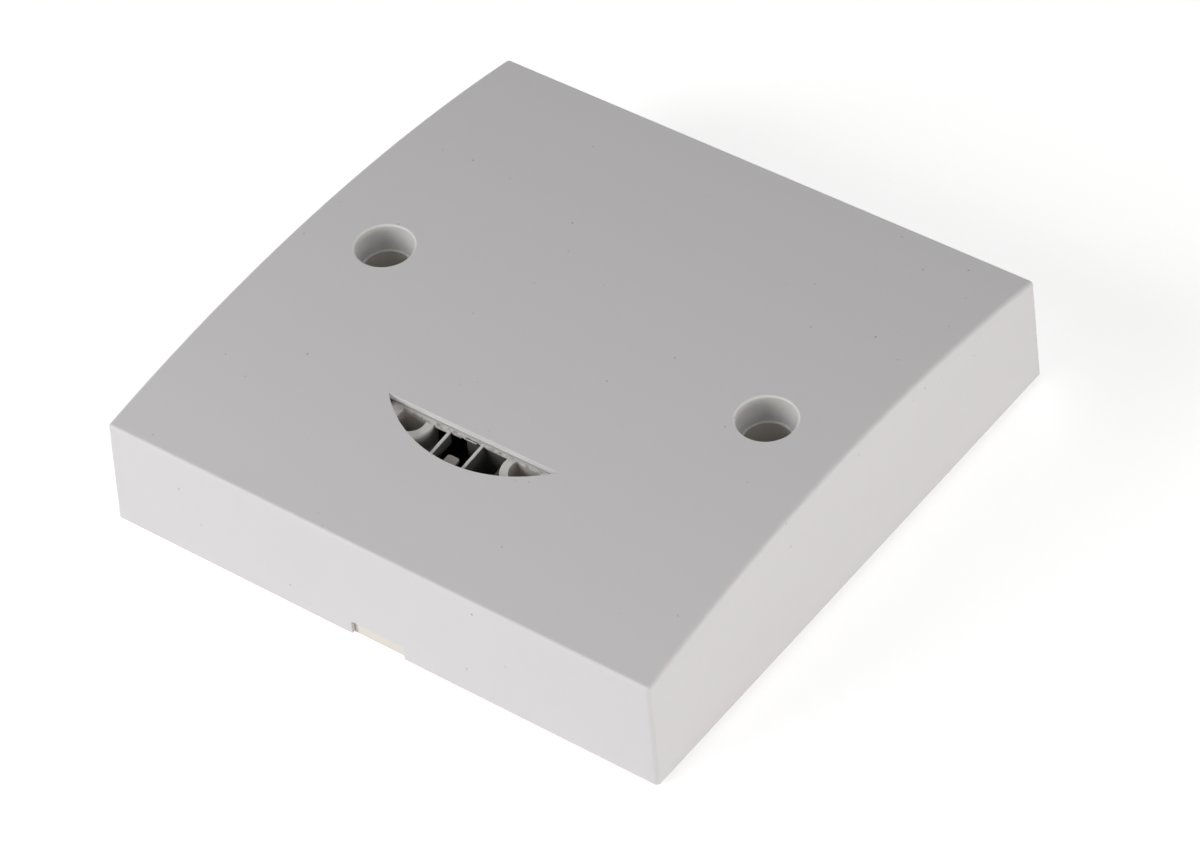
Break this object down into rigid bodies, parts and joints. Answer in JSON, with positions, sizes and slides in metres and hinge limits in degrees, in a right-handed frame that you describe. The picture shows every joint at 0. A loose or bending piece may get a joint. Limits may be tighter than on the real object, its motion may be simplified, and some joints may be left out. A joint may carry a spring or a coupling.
{
  "type": "microwave motion detector",
  "caption": "Square single-gang wall detector with a bowed front cover, tapered fixing wells and a crescent window over its adjusters.",
  "frame": {"origin": "centre of the back plane, the face that lies against the wall box", "axes": "+X along the row of fixing screws, +Y up when it is on the wall, +Z out of the front face"},
  "size_m": [0.0858, 0.0856, 0.0209],
  "materials": {
    "cover_plastic": "fine matt",
    "base_plastic": "matt",
    "bezel_plastic": "satin",
    "shroud_plastic": "matt",
    "board_green": "solder resist",
    "screw_steel": "zinc plated",
    "clamp_brass": "plain",
    "pin_gold": "gold plated",
    "patch_copper": "gold plated",
    "can_steel": "tinned",
    "terminal_plastic": "satin",
    "relay_plastic": "satin",
    "film_plastic": "satin",
    "chip_plastic": "matt",
    "can_sleeve": "shrink sleeve",
    "varistor_epoxy": "dipped epoxy",
    "fuse_glass": "glass and plated caps",
    "choke_ferrite": "wound drum",
    "lamp_epoxy": "tinted epoxy",
    "sensor_epoxy": "clear epoxy",
    "trimmer_blue": "satin",
    "rotor_white": "satin"
  },
  "bodies": {
    "housing": {"front_cover": "cover_plastic", "base_plate": "base_plastic", "adjuster_bezel": "bezel_plastic", "light_shroud": "shroud_plastic", "main_board": "board_green", "microwave_board": "board_green", "board_screws": "screw_steel", "terminal_screws": "screw_steel", "terminal_clamps": "clamp_brass", "module_pins": "pin_gold", "antenna_patches": "patch_copper", "shield_can": "can_steel", "terminal_block": "terminal_plastic", "relay": "relay_plastic", "film_capacitor": "film_plastic", "controller_chip": "chip_plastic", "bridge_rectifier": "chip_plastic", "regulator_chip": "chip_plastic", "bulk_capacitor": "can_sleeve", "output_capacitor": "can_sleeve", "varistor": "varistor_epoxy", "fuse": "fuse_glass", "choke": "choke_ferrite", "chip_resistors": "chip_plastic", "indicator_led": "lamp_epoxy", "light_sensor": "sensor_epoxy", "sensitivity_trimmer": "trimmer_blue", "time_trimmer": "trimmer_blue"},
    "sensitivity_rotor": {"sensitivity_rotor": "rotor_white"},
    "time_rotor": {"time_rotor": "rotor_white"}
  },
  "joints": [
    {"name": "sensitivity_turn", "type": "hinge", "parent": "housing", "child": "sensitivity_rotor", "pos_m": [-0.0089, -0.0226, 0.0114], "axis": [0, 0, 1], "range_deg": [-130, 130]},
    {"name": "time_turn", "type": "hinge", "parent": "housing", "child": "time_rotor", "pos_m": [0.0089, -0.0226, 0.0114], "axis": [0, 0, 1], "range_deg": [-130, 130]}
  ]
}
